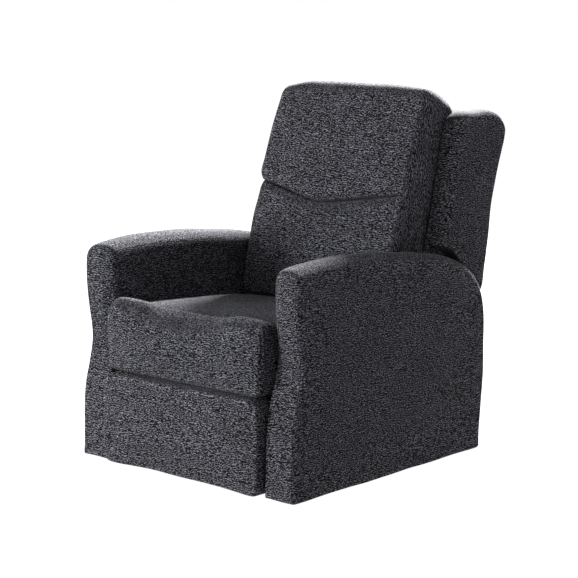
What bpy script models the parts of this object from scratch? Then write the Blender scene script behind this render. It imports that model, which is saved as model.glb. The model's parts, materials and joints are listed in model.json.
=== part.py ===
"""Recliner armchair: wood arm frames under padded covers, a sliding seat on a steel mechanism, a hinged shell
back with two cushions, and a footrest carried by a double parallelogram of links.

Metres, +Z up. The chair faces -Y. The origin lies on the floor under the middle of the overall box. Names end in
_l for the occupant's left side (+X) and _r for the right side (-X)."""

import math

import bmesh
import bpy
from mathutils import Matrix

# Overall sizes
HALF_WIDTH = 0.400
ARM_WIDTH = 0.100
ARM_INNER = HALF_WIDTH - ARM_WIDTH
GLIDE_HEIGHT = 0.006
COVER_WALL = 0.012
GAP = 0.0003

# Widths of the seat and back, each measured from the middle
SEAT_HALF = 0.290
BORDER_HALF = 0.266
FOOTREST_HALF = 0.2965
LUMBAR_HALF = 0.280
PILLOW_HALF = 0.270
SHELL_HALF = 0.282
WING_OUTER = 0.340

# Layers of the steel mechanism, distance of each plate's inner face from the middle
PLATE = 0.003
LAYER_STEP = 0.004
BASE_LAYER = ARM_INNER - PLATE - 0.0005
SEAT_LAYER = 0.2863
LINK_LAYER = SEAT_LAYER - LAYER_STEP
BAR_LAYER = LINK_LAYER - LAYER_STEP
BRACKET_LAYER = BAR_LAYER - LAYER_STEP

# Footrest linkage, as (y, z) points with the footrest closed
DRIVE_PIVOT = (-0.2271, 0.2961)
ELBOW_PIVOT = (-0.1656, 0.0782)
FOOT_PIVOT = (-0.4150, 0.1714)
REAR_LINK_OFFSET = 0.066
UPPER_BAR_OFFSET = (-0.005, 0.053)
SHANK_RADIUS = 0.0044
HOLE_RADIUS = 0.0046
HEAD_RADIUS = 0.0075
HEAD_HEIGHT = 0.0020

# Back hinge and sliding seat
BACK_PIVOT = (0.160, 0.280)
SLIDE_TRAVEL = 0.045
SLIDE_RISE = math.radians(4.0)
STUDS = ((-0.130, 0.305), (0.080, 0.305))
STUD_RADIUS = 0.0060
SLOT_RADIUS = 0.0066
ROLLER_RADIUS = 0.0095

# Release handle, in the outer face of the right arm
HANDLE_CENTRE = (-0.200, 0.420)
HANDLE_SIZE = (0.130, 0.078)
HANDLE_DEPTH = 0.030
CABLE_RADIUS = 0.0025
CABLE_HOLE = (-0.060, 0.200)

MATERIALS = {
    "fabric": ((0.040, 0.042, 0.050), 0.92, 0.0),
    "cambric": ((0.015, 0.015, 0.016), 0.95, 0.0),
    "wood": ((0.52, 0.36, 0.20), 0.62, 0.0),
    "steel": ((0.10, 0.10, 0.11), 0.45, 0.8),
    "zinc": ((0.55, 0.55, 0.54), 0.35, 0.9),
    "webbing": ((0.62, 0.60, 0.54), 0.85, 0.0),
    "plastic": ((0.012, 0.012, 0.013), 0.45, 0.0),
}


# ---------------------------------------------------------------- scene and materials


def clear_scene():
    for obj in list(bpy.data.objects):
        bpy.data.objects.remove(obj, do_unlink=True)


def make_material(name):
    colour, roughness, metallic = MATERIALS[name]
    material = bpy.data.materials.new(name)
    material.use_nodes = True
    shader = material.node_tree.nodes["Principled BSDF"]
    shader.inputs["Base Color"].default_value = (*colour, 1.0)
    shader.inputs["Roughness"].default_value = roughness
    shader.inputs["Metallic"].default_value = metallic
    return material


def make_collection(name):
    collection = bpy.data.collections.new(name)
    bpy.context.scene.collection.children.link(collection)
    return collection


def add(obj, material):
    """Puts a finished piece in the chair's collection with its material."""
    PARTS.objects.link(obj)
    obj.data.materials.clear()
    obj.data.materials.append(MADE[material])
    for polygon in obj.data.polygons:
        polygon.use_smooth = True
    obj.data.set_sharp_from_angle(angle=math.radians(35.0))
    return obj


def add_tool(obj):
    """Puts a Boolean's operand in the cutters' collection, out of the render."""
    CUTTERS.objects.link(obj)
    obj.hide_render = True
    obj.display_type = "WIRE"
    return obj


def boolean(obj, tool, operation):
    modifier = obj.modifiers.new(operation.title(), "BOOLEAN")
    modifier.operation = operation
    modifier.object = add_tool(tool)
    modifier.solver = "EXACT"


# ---------------------------------------------------------------- outlines


def circle(centre, radius, count=16):
    turns = [2 * math.pi * i / count for i in range(count)]
    return [(centre[0] + radius * math.cos(t), centre[1] + radius * math.sin(t)) for t in turns]


def hull(points):
    """The convex outline round some points, anticlockwise."""
    ordered = sorted(points)

    def half(run):
        kept = []
        for point in run:
            while len(kept) > 1 and turn(kept[-2], kept[-1], point) <= 1e-12:
                kept.pop()
            kept.append(point)
        return kept[:-1]

    return half(ordered) + half(ordered[::-1])


def turn(a, b, c):
    return (b[0] - a[0]) * (c[1] - a[1]) - (b[1] - a[1]) * (c[0] - a[0])


def bar_outline(pivots, radius):
    """A flat bar that runs round each of its pivots."""
    return hull([point for pivot in pivots for point in circle(pivot, radius)])


def smooth(points, steps=4):
    """A closed curve through the points, by Catmull-Rom."""
    found = []
    count = len(points)
    for i in range(count):
        a, b, c, d = (points[(i + k) % count] for k in (-1, 0, 1, 2))
        for step in range(steps):
            t = step / steps
            found.append(tuple(spline_value(a[k], b[k], c[k], d[k], t) for k in (0, 1)))
    return found


def spline_value(a, b, c, d, t):
    return b + 0.5 * t * (c - a + t * (2 * a - 5 * b + 4 * c - d + t * (3 * (b - c) + d - a)))


def round_corners(points, radius, steps=3):
    """A closed polygon with each corner cut back by radius and rounded."""
    found = []
    for i, corner in enumerate(points):
        before = toward(corner, points[i - 1], radius)
        after = toward(corner, points[(i + 1) % len(points)], radius)
        for step in range(steps + 1):
            t = step / steps
            found.append(
                tuple(
                    (1 - t) ** 2 * before[k] + 2 * t * (1 - t) * corner[k] + t * t * after[k]
                    for k in (0, 1)
                )
            )
    return found


def toward(start, end, distance):
    length = math.dist(start, end)
    share = min(distance / length, 0.45)
    return tuple(start[k] + share * (end[k] - start[k]) for k in (0, 1))


def shifted(point, offset):
    return (point[0] + offset[0], point[1] + offset[1])


# ---------------------------------------------------------------- solids


def mesh_from_curve(curve_object):
    """A closed mesh object from a curve object, which is removed."""
    bpy.context.scene.collection.objects.link(curve_object)
    bpy.context.view_layer.update()
    graph = bpy.context.evaluated_depsgraph_get()
    mesh = bpy.data.meshes.new_from_object(curve_object.evaluated_get(graph))
    shape = bmesh.new()
    shape.from_mesh(mesh)
    bmesh.ops.remove_doubles(shape, verts=shape.verts, dist=1e-6)
    shape.transform(curve_object.matrix_world)
    bmesh.ops.recalc_face_normals(shape, faces=shape.faces)
    if shape.calc_volume(signed=True) < 0:
        bmesh.ops.reverse_faces(shape, faces=shape.faces)
    shape.to_mesh(mesh)
    shape.free()
    name = curve_object.name
    bpy.data.objects.remove(curve_object, do_unlink=True)
    return bpy.data.objects.new(name, mesh)


def profile_solid(name, outlines, low, high, rounding=0.0, rounding_steps=2):
    """Outlines of (y, z) points, the first the outside and the rest holes, run along X from low to high."""
    curve = bpy.data.curves.new(name, "CURVE")
    curve.dimensions = "2D"
    curve.fill_mode = "BOTH"
    curve.extrude = (high - low) / 2 - rounding
    curve.bevel_depth = rounding
    curve.bevel_resolution = rounding_steps
    curve.offset = -rounding
    for outline in outlines:
        spline = curve.splines.new("POLY")
        spline.points.add(len(outline) - 1)
        for point, (y, z) in zip(spline.points, outline):
            point.co = (y, z, 0.0, 1.0)
        spline.use_cyclic_u = True
    obj = bpy.data.objects.new(name, curve)
    obj.rotation_euler = (math.pi / 2, 0.0, math.pi / 2)
    obj.location.x = (low + high) / 2
    return mesh_from_curve(obj)


def side_solid(name, outlines, side, inner, outer, rounding=0.0, rounding_steps=2):
    """A profile solid on one side of the chair: side is 1 for left and -1 for right."""
    low, high = sorted((side * inner, side * outer))
    return profile_solid(name, outlines, low, high, rounding, rounding_steps)


def block(name, low, high, rounding=0.0, rounding_steps=2):
    mesh = bpy.data.meshes.new(name)
    shape = bmesh.new()
    bmesh.ops.create_cube(shape, size=1.0)
    size = [high[k] - low[k] for k in range(3)]
    middle = [(high[k] + low[k]) / 2 for k in range(3)]
    bmesh.ops.scale(shape, vec=size, verts=shape.verts)
    bmesh.ops.translate(shape, vec=middle, verts=shape.verts)
    shape.to_mesh(mesh)
    shape.free()
    obj = bpy.data.objects.new(name, mesh)
    if rounding:
        bevel = obj.modifiers.new("Bevel", "BEVEL")
        bevel.width = rounding
        bevel.segments = rounding_steps
    return obj


def rod(name, point, low, high, radius, count=16):
    """A cylinder along X, at (y, z), from low to high."""
    mesh = bpy.data.meshes.new(name)
    shape = bmesh.new()
    bmesh.ops.create_cone(
        shape, cap_ends=True, segments=count, radius1=radius, radius2=radius, depth=high - low
    )
    bmesh.ops.rotate(shape, matrix=Matrix.Rotation(math.pi / 2, 3, "Y"), verts=shape.verts)
    bmesh.ops.translate(shape, vec=((low + high) / 2, *point), verts=shape.verts)
    shape.to_mesh(mesh)
    shape.free()
    return bpy.data.objects.new(name, mesh)


def wire(name, points, radius, resolution=2):
    curve = bpy.data.curves.new(name, "CURVE")
    curve.dimensions = "3D"
    curve.bevel_depth = radius
    curve.bevel_resolution = resolution
    curve.use_fill_caps = True
    spline = curve.splines.new("POLY")
    spline.points.add(len(points) - 1)
    for target, point in zip(spline.points, points):
        target.co = (*point, 1.0)
    return mesh_from_curve(bpy.data.objects.new(name, curve))


def side_rod(name, side, point, inner, outer, radius, count=16):
    low, high = sorted((side * inner, side * outer))
    return rod(name, point, low, high, radius, count)


def turned(name, side, point, profile, count=16):
    """A solid turned about X at (y, z): the profile gives (distance from the middle, radius), axis to axis."""
    mesh = bpy.data.meshes.new(name)
    shape = bmesh.new()
    verts = [shape.verts.new((side * x, point[0] + radius, point[1])) for x, radius in profile]
    edges = [shape.edges.new(pair) for pair in zip(verts[:-1], verts[1:])]
    bmesh.ops.spin(
        shape, geom=verts + edges, cent=(0.0, *point), axis=(1.0, 0.0, 0.0), angle=2 * math.pi, steps=count
    )
    bmesh.ops.remove_doubles(shape, verts=shape.verts, dist=1e-6)
    bmesh.ops.recalc_face_normals(shape, faces=shape.faces)
    shape.to_mesh(mesh)
    shape.free()
    return bpy.data.objects.new(name, mesh)


def rivet(obj, side, point, layer, through):
    """Adds a headed pin to a plate at layer: its shank runs outward through the plate at the layer through."""
    start = layer + PLATE / 2
    face = through + PLATE + GAP
    profile = [(start, 0.0), (start, SHANK_RADIUS), (face, SHANK_RADIUS), (face, HEAD_RADIUS)]
    profile += [(face + HEAD_HEIGHT * 0.6, HEAD_RADIUS), (face + HEAD_HEIGHT, HEAD_RADIUS * 0.6)]
    profile += [(face + HEAD_HEIGHT, 0.0)]
    label = f"{obj.name}_rivet_{len(obj.modifiers)}"
    boolean(obj, turned(label, side, point, profile), "UNION")


# ---------------------------------------------------------------- arms


ARM_OUTLINE = [
    (-0.480, -0.100), (-0.485, 0.000), (-0.484, 0.100), (-0.478, 0.190), (-0.459, 0.262), (-0.441, 0.333),
    (-0.451, 0.420), (-0.459, 0.520), (-0.446, 0.594), (-0.395, 0.6205), (-0.300, 0.622),
    (-0.115, 0.615), (0.060, 0.597), (0.200, 0.574), (0.290, 0.530), (0.335, 0.455),
    (0.346, 0.350), (0.342, 0.220), (0.333, 0.110), (0.322, 0.000), (0.310, -0.100),
]
ARM_CAVITY = [
    (-0.455, -0.020), (-0.452, 0.180), (-0.425, 0.260), (-0.405, 0.310), (-0.405, 0.360),
    (-0.425, 0.450), (-0.425, 0.560), (-0.390, 0.585), (0.140, 0.550), (0.240, 0.510),
    (0.300, 0.430), (0.310, 0.330), (0.295, -0.020),
]
ARM_BOARD = [
    (-0.400, 0.0063), (0.275, 0.0063), (0.285, 0.400), (0.220, 0.495), (0.130, 0.530), (-0.400, 0.555),
]
BOARD_INNER = ARM_INNER + COVER_WALL + GAP
BOARD_OUTER = BOARD_INNER + 0.018
POST_INNER = BOARD_OUTER + GAP
POST_OUTER = HALF_WIDTH - COVER_WALL - GAP


def arm_cover(side, suffix):
    """Padded fabric over the arm frame: a rounded shell that is open underneath."""
    outline = smooth(ARM_OUTLINE, 2)
    cover = side_solid("arm_cover" + suffix, [outline], side, ARM_INNER, HALF_WIDTH, 0.022, 2)
    below = block("arm_foot_cut" + suffix, (-0.5, -0.6, -0.3), (0.5, 0.5, GLIDE_HEIGHT))
    boolean(cover, below, "DIFFERENCE")
    cavity = side_solid(
        "arm_cavity" + suffix, [ARM_CAVITY], side, ARM_INNER + COVER_WALL, HALF_WIDTH - COVER_WALL
    )
    boolean(cover, cavity, "DIFFERENCE")
    if side < 0:
        handle_hole = rounded_slab("handle_hole", HALF_WIDTH + 0.01, HALF_WIDTH - 0.02, 0.0005)
        boolean(cover, handle_hole, "DIFFERENCE")
        boolean(cover, cable_cutter("cover_cable_hole"), "DIFFERENCE")
    add(cover, "fabric")


def cable_cutter(name):
    return side_rod(name, -1, CABLE_HOLE, ARM_INNER - 0.01, BOARD_OUTER + 0.005, 0.006)


def arm_frame(side, suffix):
    """The wood inside an arm: a plywood board along the seat side, two posts and a top rail."""
    board = side_solid("arm_board" + suffix, [round_corners(ARM_BOARD, 0.01)], side, BOARD_INNER, BOARD_OUTER)
    if side < 0:
        boolean(board, cable_cutter("board_cable_hole"), "DIFFERENCE")
    add(board, "wood")
    front = ((-0.400, 0.0063), (-0.362, 0.550))
    rear = ((0.235, 0.0063), (0.273, 0.460))
    rail = ((-0.3617, 0.495), (0.200, 0.520))
    for name, (low, high) in (("arm_front_post", front), ("arm_rear_post", rear), ("arm_top_rail", rail)):
        inner, outer = sorted((side * POST_INNER, side * POST_OUTER))
        piece = block(name + suffix, (inner, *low), (outer, *high), 0.002, 1)
        add(piece, "wood")


def glide(name, x, y):
    """A nail-on glide: a low domed disc, turned about Z."""
    profile = [(0.0, GLIDE_HEIGHT - GAP), (0.011, GLIDE_HEIGHT - GAP), (0.0125, 0.003), (0.010, 0.0), (0.0, 0.0)]
    mesh = bpy.data.meshes.new(name)
    mesh.from_pydata([(r, 0.0, z) for r, z in profile], [(i, i + 1) for i in range(len(profile) - 1)], [])
    obj = bpy.data.objects.new(name, mesh)
    screw = obj.modifiers.new("Screw", "SCREW")
    screw.steps = 20
    screw.render_steps = 20
    screw.use_merge_vertices = True
    screw.merge_threshold = 0.0001
    obj.location = (x, y, 0.0)
    PARTS.objects.link(obj)
    mesh.materials.append(MADE["zinc"])


# ---------------------------------------------------------------- base


def base_rails():
    half = ARM_INNER - GAP
    add(block("base_front_rail", (-half, -0.340, 0.012), (half, -0.300, 0.042), 0.002, 1), "wood")
    add(block("base_rear_rail", (-half, 0.215, 0.012), (half, 0.245, 0.075), 0.002, 1), "wood")
    add(block("dust_cover", (-half, -0.2995, 0.0130), (half, 0.2145, 0.0145)), "cambric")


def slide_direction():
    return (-math.cos(SLIDE_RISE), math.sin(SLIDE_RISE))


def slot_outline(start):
    end = shifted(start, [SLIDE_TRAVEL * part for part in slide_direction()])
    return bar_outline([start, end], SLOT_RADIUS)


def base_plate(side, suffix):
    """The fixed side of the mechanism: a plate on the arm with a slot for each of the seat's rollers."""
    outline = [
        (-0.250, 0.100), (0.150, 0.100), (0.178, 0.140), (0.178, 0.335), (0.150, 0.348),
        (-0.205, 0.348), (-0.250, 0.310),
    ]
    outlines = [round_corners(outline, 0.015)] + [slot_outline(stud) for stud in STUDS]
    if side < 0:
        outlines.append(circle(CABLE_HOLE, 0.004))
    plate = side_solid("mech_base_plate" + suffix, outlines, side, BASE_LAYER, BASE_LAYER + PLATE)
    add(plate, "steel")


# ---------------------------------------------------------------- seat


def rear_pivot():
    """The rear control link's pivot on the seat plate."""
    length = math.dist(ELBOW_PIVOT, FOOT_PIVOT)
    offset = [REAR_LINK_OFFSET * (FOOT_PIVOT[k] - ELBOW_PIVOT[k]) / length for k in (0, 1)]
    return shifted(DRIVE_PIVOT, offset)


def rear_elbow():
    """The rear control link's pivot on the outer link."""
    rear = rear_pivot()
    return shifted(ELBOW_PIVOT, (rear[0] - DRIVE_PIVOT[0], rear[1] - DRIVE_PIVOT[1]))


def seat_plate(side, suffix):
    """The sliding side of the mechanism, which carries the seat frame, the links and the back's hinge."""
    outline = [
        (-0.305, 0.303), (-0.240, 0.276), (-0.200, 0.270), (0.100, 0.270), (0.150, 0.258), (0.182, 0.266),
        (0.184, 0.300), (0.150, 0.330), (0.092, 0.352), (-0.305, 0.352),
    ]
    holes = [circle(pivot, HOLE_RADIUS) for pivot in (DRIVE_PIVOT, rear_pivot(), BACK_PIVOT)]
    outlines = [round_corners(outline, 0.006)] + holes
    plate = side_solid("seat_plate" + suffix, outlines, side, SEAT_LAYER, SEAT_LAYER + PLATE)
    low, high = sorted((side * 0.236, side * (SEAT_LAYER + 0.001)))
    boolean(plate, block("seat_flange" + suffix, (low, -0.300, 0.349), (high, 0.088, 0.352)), "UNION")
    for index, stud in enumerate(STUDS):
        label = f"{suffix}_{index}"
        roller = side_rod("roller" + label, side, stud, SEAT_LAYER + 0.001, BASE_LAYER - GAP, ROLLER_RADIUS)
        pin = side_rod("stud" + label, side, stud, SEAT_LAYER + 0.001, ARM_INNER - 0.0004, STUD_RADIUS)
        boolean(plate, roller, "UNION")
        boolean(plate, pin, "UNION")
    add(plate, "steel")


def seat_frame():
    """Two side rails under the plates' flanges, with a front and a rear rail between them."""
    for side, suffix in ((1, "_l"), (-1, "_r")):
        low, high = sorted((side * 0.236, side * 0.266))
        rail = block("seat_side_rail" + suffix, (low, -0.4087, 0.3110), (high, 0.088, 0.3487), 0.002, 1)
        add(rail, "wood")
    half = BORDER_HALF
    add(block("seat_front_rail", (-half, -0.4395, 0.290), (half, -0.4090, 0.3505), 0.002, 1), "wood")
    inner = 0.236 - GAP
    add(block("seat_rear_rail", (-inner, 0.055, 0.3110), (inner, 0.085, 0.3505), 0.002, 1), "wood")


def seat_spring(index, x):
    """A sinuous spring: one wire in flat loops from the front rail to the rear rail."""
    first, last, loops = -0.432, 0.078, 13
    points = [(x, first, 0.3528)]
    pitch = (last - first - 0.02) / loops
    for loop in range(loops):
        way = 1 if loop % 2 else -1
        for share, reach in ((0.0, 0.55), (0.25, 1.0), (0.75, 1.0), (1.0, 0.55)):
            points.append((x + way * reach * 0.024, first + 0.01 + (loop + share) * pitch, 0.3528))
    points.append((x, last, 0.3528))
    add(wire(f"seat_spring_{index}", points, 0.0018, 1), "steel")


def seat_soft():
    """The seat cushion with its waterfall front, and the border that hangs in front of the frame."""
    outline = smooth(
        [
            (-0.440, 0.360), (-0.480, 0.360), (-0.505, 0.385), (-0.502, 0.425), (-0.478, 0.458), (-0.435, 0.468),
            (-0.380, 0.462), (-0.250, 0.447), (-0.050, 0.428), (0.070, 0.417), (0.104, 0.402), (0.108, 0.372),
            (0.090, 0.360), (-0.100, 0.360),
        ],
        2,
    )
    flat = [(y, max(z, 0.3583)) for y, z in outline]
    add(profile_solid("seat_cushion", [flat], -SEAT_HALF, SEAT_HALF, 0.014, 2), "fabric")
    border = block("seat_border", (-BORDER_HALF, -0.505, 0.2665), (BORDER_HALF, -0.4400, 0.3560), 0.012, 2)
    add(border, "fabric")


# ---------------------------------------------------------------- footrest linkage


def upper_elbow():
    return shifted(ELBOW_PIVOT, UPPER_BAR_OFFSET)


def upper_foot():
    return shifted(FOOT_PIVOT, UPPER_BAR_OFFSET)


def linkage(side, suffix):
    front = hull(
        circle(DRIVE_PIVOT, 0.013) + circle(upper_elbow(), 0.012) + circle(ELBOW_PIVOT, 0.011)
    )
    holes = [circle(point, HOLE_RADIUS) for point in (ELBOW_PIVOT, upper_elbow())]
    link = side_solid("front_link" + suffix, [front] + holes, side, LINK_LAYER, LINK_LAYER + PLATE)
    rivet(link, side, DRIVE_PIVOT, LINK_LAYER, SEAT_LAYER)
    add(link, "steel")

    rear = bar_outline([rear_pivot(), rear_elbow()], 0.010)
    holes = [circle(rear_elbow(), HOLE_RADIUS)]
    link = side_solid("rear_link" + suffix, [rear] + holes, side, LINK_LAYER, LINK_LAYER + PLATE)
    rivet(link, side, rear_pivot(), LINK_LAYER, SEAT_LAYER)
    add(link, "steel")

    outer = bar_outline([ELBOW_PIVOT, FOOT_PIVOT], 0.0095)
    holes = [circle(FOOT_PIVOT, HOLE_RADIUS)]
    link = side_solid("outer_link" + suffix, [outer] + holes, side, BAR_LAYER, BAR_LAYER + PLATE)
    rivet(link, side, ELBOW_PIVOT, BAR_LAYER, LINK_LAYER)
    rivet(link, side, rear_elbow(), BAR_LAYER, LINK_LAYER)
    add(link, "steel")

    upper = bar_outline([upper_elbow(), upper_foot()], 0.0085)
    holes = [circle(upper_foot(), HOLE_RADIUS)]
    link = side_solid("upper_link" + suffix, [upper] + holes, side, BAR_LAYER, BAR_LAYER + PLATE)
    rivet(link, side, upper_elbow(), BAR_LAYER, LINK_LAYER)
    add(link, "steel")


def footrest_bracket(side, suffix):
    """A steel angle: a plate with the two foot pivots, and a flange against the footrest board."""
    face = -0.4357
    outline = hull(
        circle(FOOT_PIVOT, 0.010) + circle(upper_foot(), 0.010) + [(face, 0.130), (face, 0.245)]
    )
    outline = [(max(y, face), z) for y, z in outline]
    plate = side_solid("footrest_bracket" + suffix, [outline], side, BRACKET_LAYER, BRACKET_LAYER + PLATE)
    low, high = sorted((side * 0.245, side * (BRACKET_LAYER + 0.002)))
    boolean(plate, block("foot_flange" + suffix, (low, face, 0.130), (high, face + PLATE, 0.245)), "UNION")
    rivet(plate, side, FOOT_PIVOT, BRACKET_LAYER, BAR_LAYER)
    rivet(plate, side, upper_foot(), BRACKET_LAYER, BAR_LAYER)
    add(plate, "steel")


def drive_tube():
    half = LINK_LAYER - GAP
    add(rod("drive_tube", DRIVE_PIVOT, -half, half, 0.0105, 20), "steel")


def footrest_panel():
    add(block("footrest_board", (-0.285, -0.4500, 0.030), (0.285, -0.4360, 0.252), 0.002, 1), "wood")
    pad = block("footrest_pad", (-FOOTREST_HALF, -0.515, 0.019), (FOOTREST_HALF, -0.4503, 0.2625), 0.014, 3)
    add(pad, "fabric")


# ---------------------------------------------------------------- back


BACK_LINE_FOOT = (0.176, 0.420)
BACK_LINE_SLOPE = 0.342
SHELL_LINE = [(0.360, 0.200), (0.411, 0.446), (0.436, 0.606), (0.448, 0.693), (0.470, 0.779), (0.493, 0.851)]


def back_line(z, offset=0.0):
    """Where the back cushions' rear face lies at a height, moved rearward by an offset."""
    return BACK_LINE_FOOT[0] + BACK_LINE_SLOPE * (z - BACK_LINE_FOOT[1]) + offset


def back_post(side, suffix):
    outline = [(0.138, 0.255), (0.182, 0.255), (0.205, 0.330), (back_line(0.44, 0.062), 0.44)]
    outline += [(back_line(0.94, 0.055), 0.940), (back_line(0.94, 0.006), 0.940), (back_line(0.36, 0.008), 0.360)]
    outline += [(0.138, 0.310)]
    post = side_solid("back_post" + suffix, [round_corners(outline, 0.008)], side, SHELL_HALF - 0.030, SHELL_HALF)
    add(post, "wood")


def back_rails():
    half = SHELL_HALF - 0.030 - GAP
    for name, z, depth in (("back_top_rail", 0.880, 0.048), ("back_bottom_rail", 0.400, 0.050)):
        low, high = z, z + 0.045
        outline = [(back_line(low, 0.008), low), (back_line(low, 0.008) + depth, low)]
        outline += [(back_line(high, 0.008) + depth, high), (back_line(high, 0.008), high)]
        add(profile_solid(name, [outline], -half, half), "wood")


def back_webbing():
    """Elastic straps between the posts, which carry the back cushions."""
    half = SHELL_HALF - 0.030 - GAP
    for index, z in enumerate((0.520, 0.700)):
        low, high = z, z + 0.070
        outline = [(back_line(low, 0.010), low), (back_line(low, 0.013), low)]
        outline += [(back_line(high, 0.013), high), (back_line(high, 0.010), high)]
        add(profile_solid(f"back_strap_{index + 1}", [outline], -half, half), "webbing")


def back_bracket(side, suffix):
    outline = hull(circle(BACK_PIVOT, 0.018) + circle((0.196, 0.385), 0.014))
    inner = SHELL_HALF + GAP
    plate = side_solid("back_bracket" + suffix, [outline], side, inner, inner + PLATE)
    rivet(plate, side, BACK_PIVOT, inner, SEAT_LAYER)
    add(plate, "steel")


def lumbar_cushion():
    outline = smooth(
        [
            (0.075, 0.420), (0.049, 0.440), (0.052, 0.484), (0.064, 0.543), (0.082, 0.617), (0.100, 0.672),
            (0.122, 0.702), (0.180, 0.708), (back_line(0.700), 0.704), (back_line(0.660), 0.660),
            (back_line(0.560), 0.560), (back_line(0.460), 0.460), (back_line(0.430) - 0.004, 0.424), (0.130, 0.420),
        ],
        2,
    )
    add(profile_solid("lumbar_cushion", [outline], -LUMBAR_HALF, LUMBAR_HALF, 0.016, 2), "fabric")


def head_pillow():
    outline = smooth(
        [
            (0.150, 0.715), (0.116, 0.724), (0.127, 0.760), (0.146, 0.815), (0.172, 0.888), (0.203, 0.962),
            (0.235, 1.012), (0.280, 1.043), (0.330, 1.046), (0.372, 1.022), (0.385, 0.990), (0.372, 0.968),
            (back_line(0.900), 0.900), (back_line(0.800), 0.800), (back_line(0.735) - 0.004, 0.725), (0.220, 0.714),
        ],
        2,
    )
    add(profile_solid("head_pillow", [outline], -PILLOW_HALF, PILLOW_HALF, 0.018, 2), "fabric")


def wing(side, suffix):
    """A padded side of the back's shell, from above the arm's rear end to the top."""
    outline = smooth(
        [
            (0.222, 0.640), (0.252, 0.770), (0.286, 0.920), (0.300, 0.958), (0.330, 0.972), (0.400, 0.975),
            (0.460, 0.973), (0.498, 0.954), (0.515, 0.915), (0.493, 0.845), (0.468, 0.770), (0.447, 0.690),
            (0.434, 0.606), (0.420, 0.519), (0.410, 0.456), (0.386, 0.430), (0.362, 0.455), (0.325, 0.528),
            (0.280, 0.575), (0.235, 0.600),
        ],
        2,
    )
    add(side_solid("wing" + suffix, [outline], side, SHELL_HALF + GAP, WING_OUTER, 0.016, 2), "fabric")


def outside_back():
    """The rear panel of the shell, with a padded lip along its top that closes the shell above the frame."""
    thick = 0.016
    rear = SHELL_LINE + [(0.507, 0.900), (0.504, 0.935), (0.480, 0.955)]
    front = [(0.395, 0.957), (0.389, 0.945), (0.470, 0.934)]
    front += [(y - thick, z) for y, z in reversed(SHELL_LINE)]
    add(profile_solid("outside_back", [rear + front], -SHELL_HALF, SHELL_HALF), "fabric")


# ---------------------------------------------------------------- release handle


def rounded_slab(name, outer, inner, margin):
    """A slab with the handle's outline, between two distances from the middle on the right side."""
    half_y = HANDLE_SIZE[0] / 2 + margin
    half_z = HANDLE_SIZE[1] / 2 + margin
    y, z = HANDLE_CENTRE
    corners = [(y - half_y, z - half_z), (y + half_y, z - half_z), (y + half_y, z + half_z), (y - half_y, z + half_z)]
    return side_solid(name, [round_corners(corners, 0.014, 4)], -1, inner, outer)


def release_bezel():
    """A moulded cup set in the arm, which holds the lever and leaves room for the fingers."""
    face = HALF_WIDTH - 0.0004
    cup = rounded_slab("release_bezel", face, face - HANDLE_DEPTH, -0.0005)
    hollow = rounded_slab("bezel_hollow", face + 0.01, face - HANDLE_DEPTH + 0.0025, -0.0040)
    boolean(cup, hollow, "DIFFERENCE")
    add(cup, "plastic")


def release_lever():
    """A paddle that is pulled outward about an upright pin at its rear end."""
    pin_y = HANDLE_CENTRE[0] + 0.050
    z = HANDLE_CENTRE[1]
    pin_x = -(HALF_WIDTH - 0.0135)
    low = z - HANDLE_SIZE[1] / 2 + 0.006
    high = z + HANDLE_SIZE[1] / 2 - 0.006
    mesh = bpy.data.meshes.new("release_lever")
    shape = bmesh.new()
    bmesh.ops.create_cone(
        shape, cap_ends=True, segments=16, radius1=0.0045, radius2=0.0045, depth=high - low
    )
    shape.to_mesh(mesh)
    shape.free()
    lever = bpy.data.objects.new("release_lever", mesh)
    lever.location = (pin_x, pin_y, z)
    paddle = block(
        "lever_paddle",
        (pin_x - 0.0030, pin_y - 0.068, low + 0.003),
        (pin_x + 0.0020, pin_y, high - 0.003),
        0.0012,
        2,
    )
    boolean(lever, paddle, "UNION")
    add(lever, "plastic")


def release_cable():
    """A Bowden cable from the handle's cup down through the board to the mechanism's plate."""
    cup_back = HALF_WIDTH - HANDLE_DEPTH - 0.0012
    route = [
        (-cup_back, -0.190, 0.420), (-0.360, -0.190, 0.419), (-0.350, -0.185, 0.405), (-0.346, -0.172, 0.370),
        (-0.344, -0.150, 0.320), (-0.344, -0.120, 0.265), (-0.345, -0.090, 0.225), (-0.342, -0.070, 0.207),
        (-0.332, -0.061, 0.2005), (-0.320, -0.060, 0.200), (-0.294, -0.060, 0.200),
    ]
    points = []
    for i in range(len(route) - 1):
        a, b, c, d = (route[min(max(i + k, 0), len(route) - 1)] for k in (-1, 0, 1, 2))
        for step in range(3):
            points.append(tuple(spline_value(a[k], b[k], c[k], d[k], step / 3) for k in range(3)))
    points.append(route[-1])
    add(wire("release_cable", points, CABLE_RADIUS, 2), "plastic")


# ---------------------------------------------------------------- the chair


def build():
    for side, suffix in ((1, "_l"), (-1, "_r")):
        arm_cover(side, suffix)
        arm_frame(side, suffix)
        base_plate(side, suffix)
        seat_plate(side, suffix)
        linkage(side, suffix)
        footrest_bracket(side, suffix)
        back_post(side, suffix)
        back_bracket(side, suffix)
        wing(side, suffix)
        for end, y in (("front", -0.381), ("rear", 0.254)):
            glide(f"glide_{end}{suffix}", side * 0.359, y)
    base_rails()
    seat_frame()
    for index in range(3):
        seat_spring(index + 1, (index - 1) * 0.140)
    seat_soft()
    drive_tube()
    footrest_panel()
    back_rails()
    back_webbing()
    lumbar_cushion()
    head_pillow()
    outside_back()
    release_bezel()
    release_lever()
    release_cable()


clear_scene()
PARTS = make_collection("recliner_armchair")
CUTTERS = make_collection("cutters")
MADE = {name: make_material(name) for name in MATERIALS}
build()
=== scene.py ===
import json
import math

import bmesh
import bpy
import numpy as np
from mathutils import Matrix, Vector, noise


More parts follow.
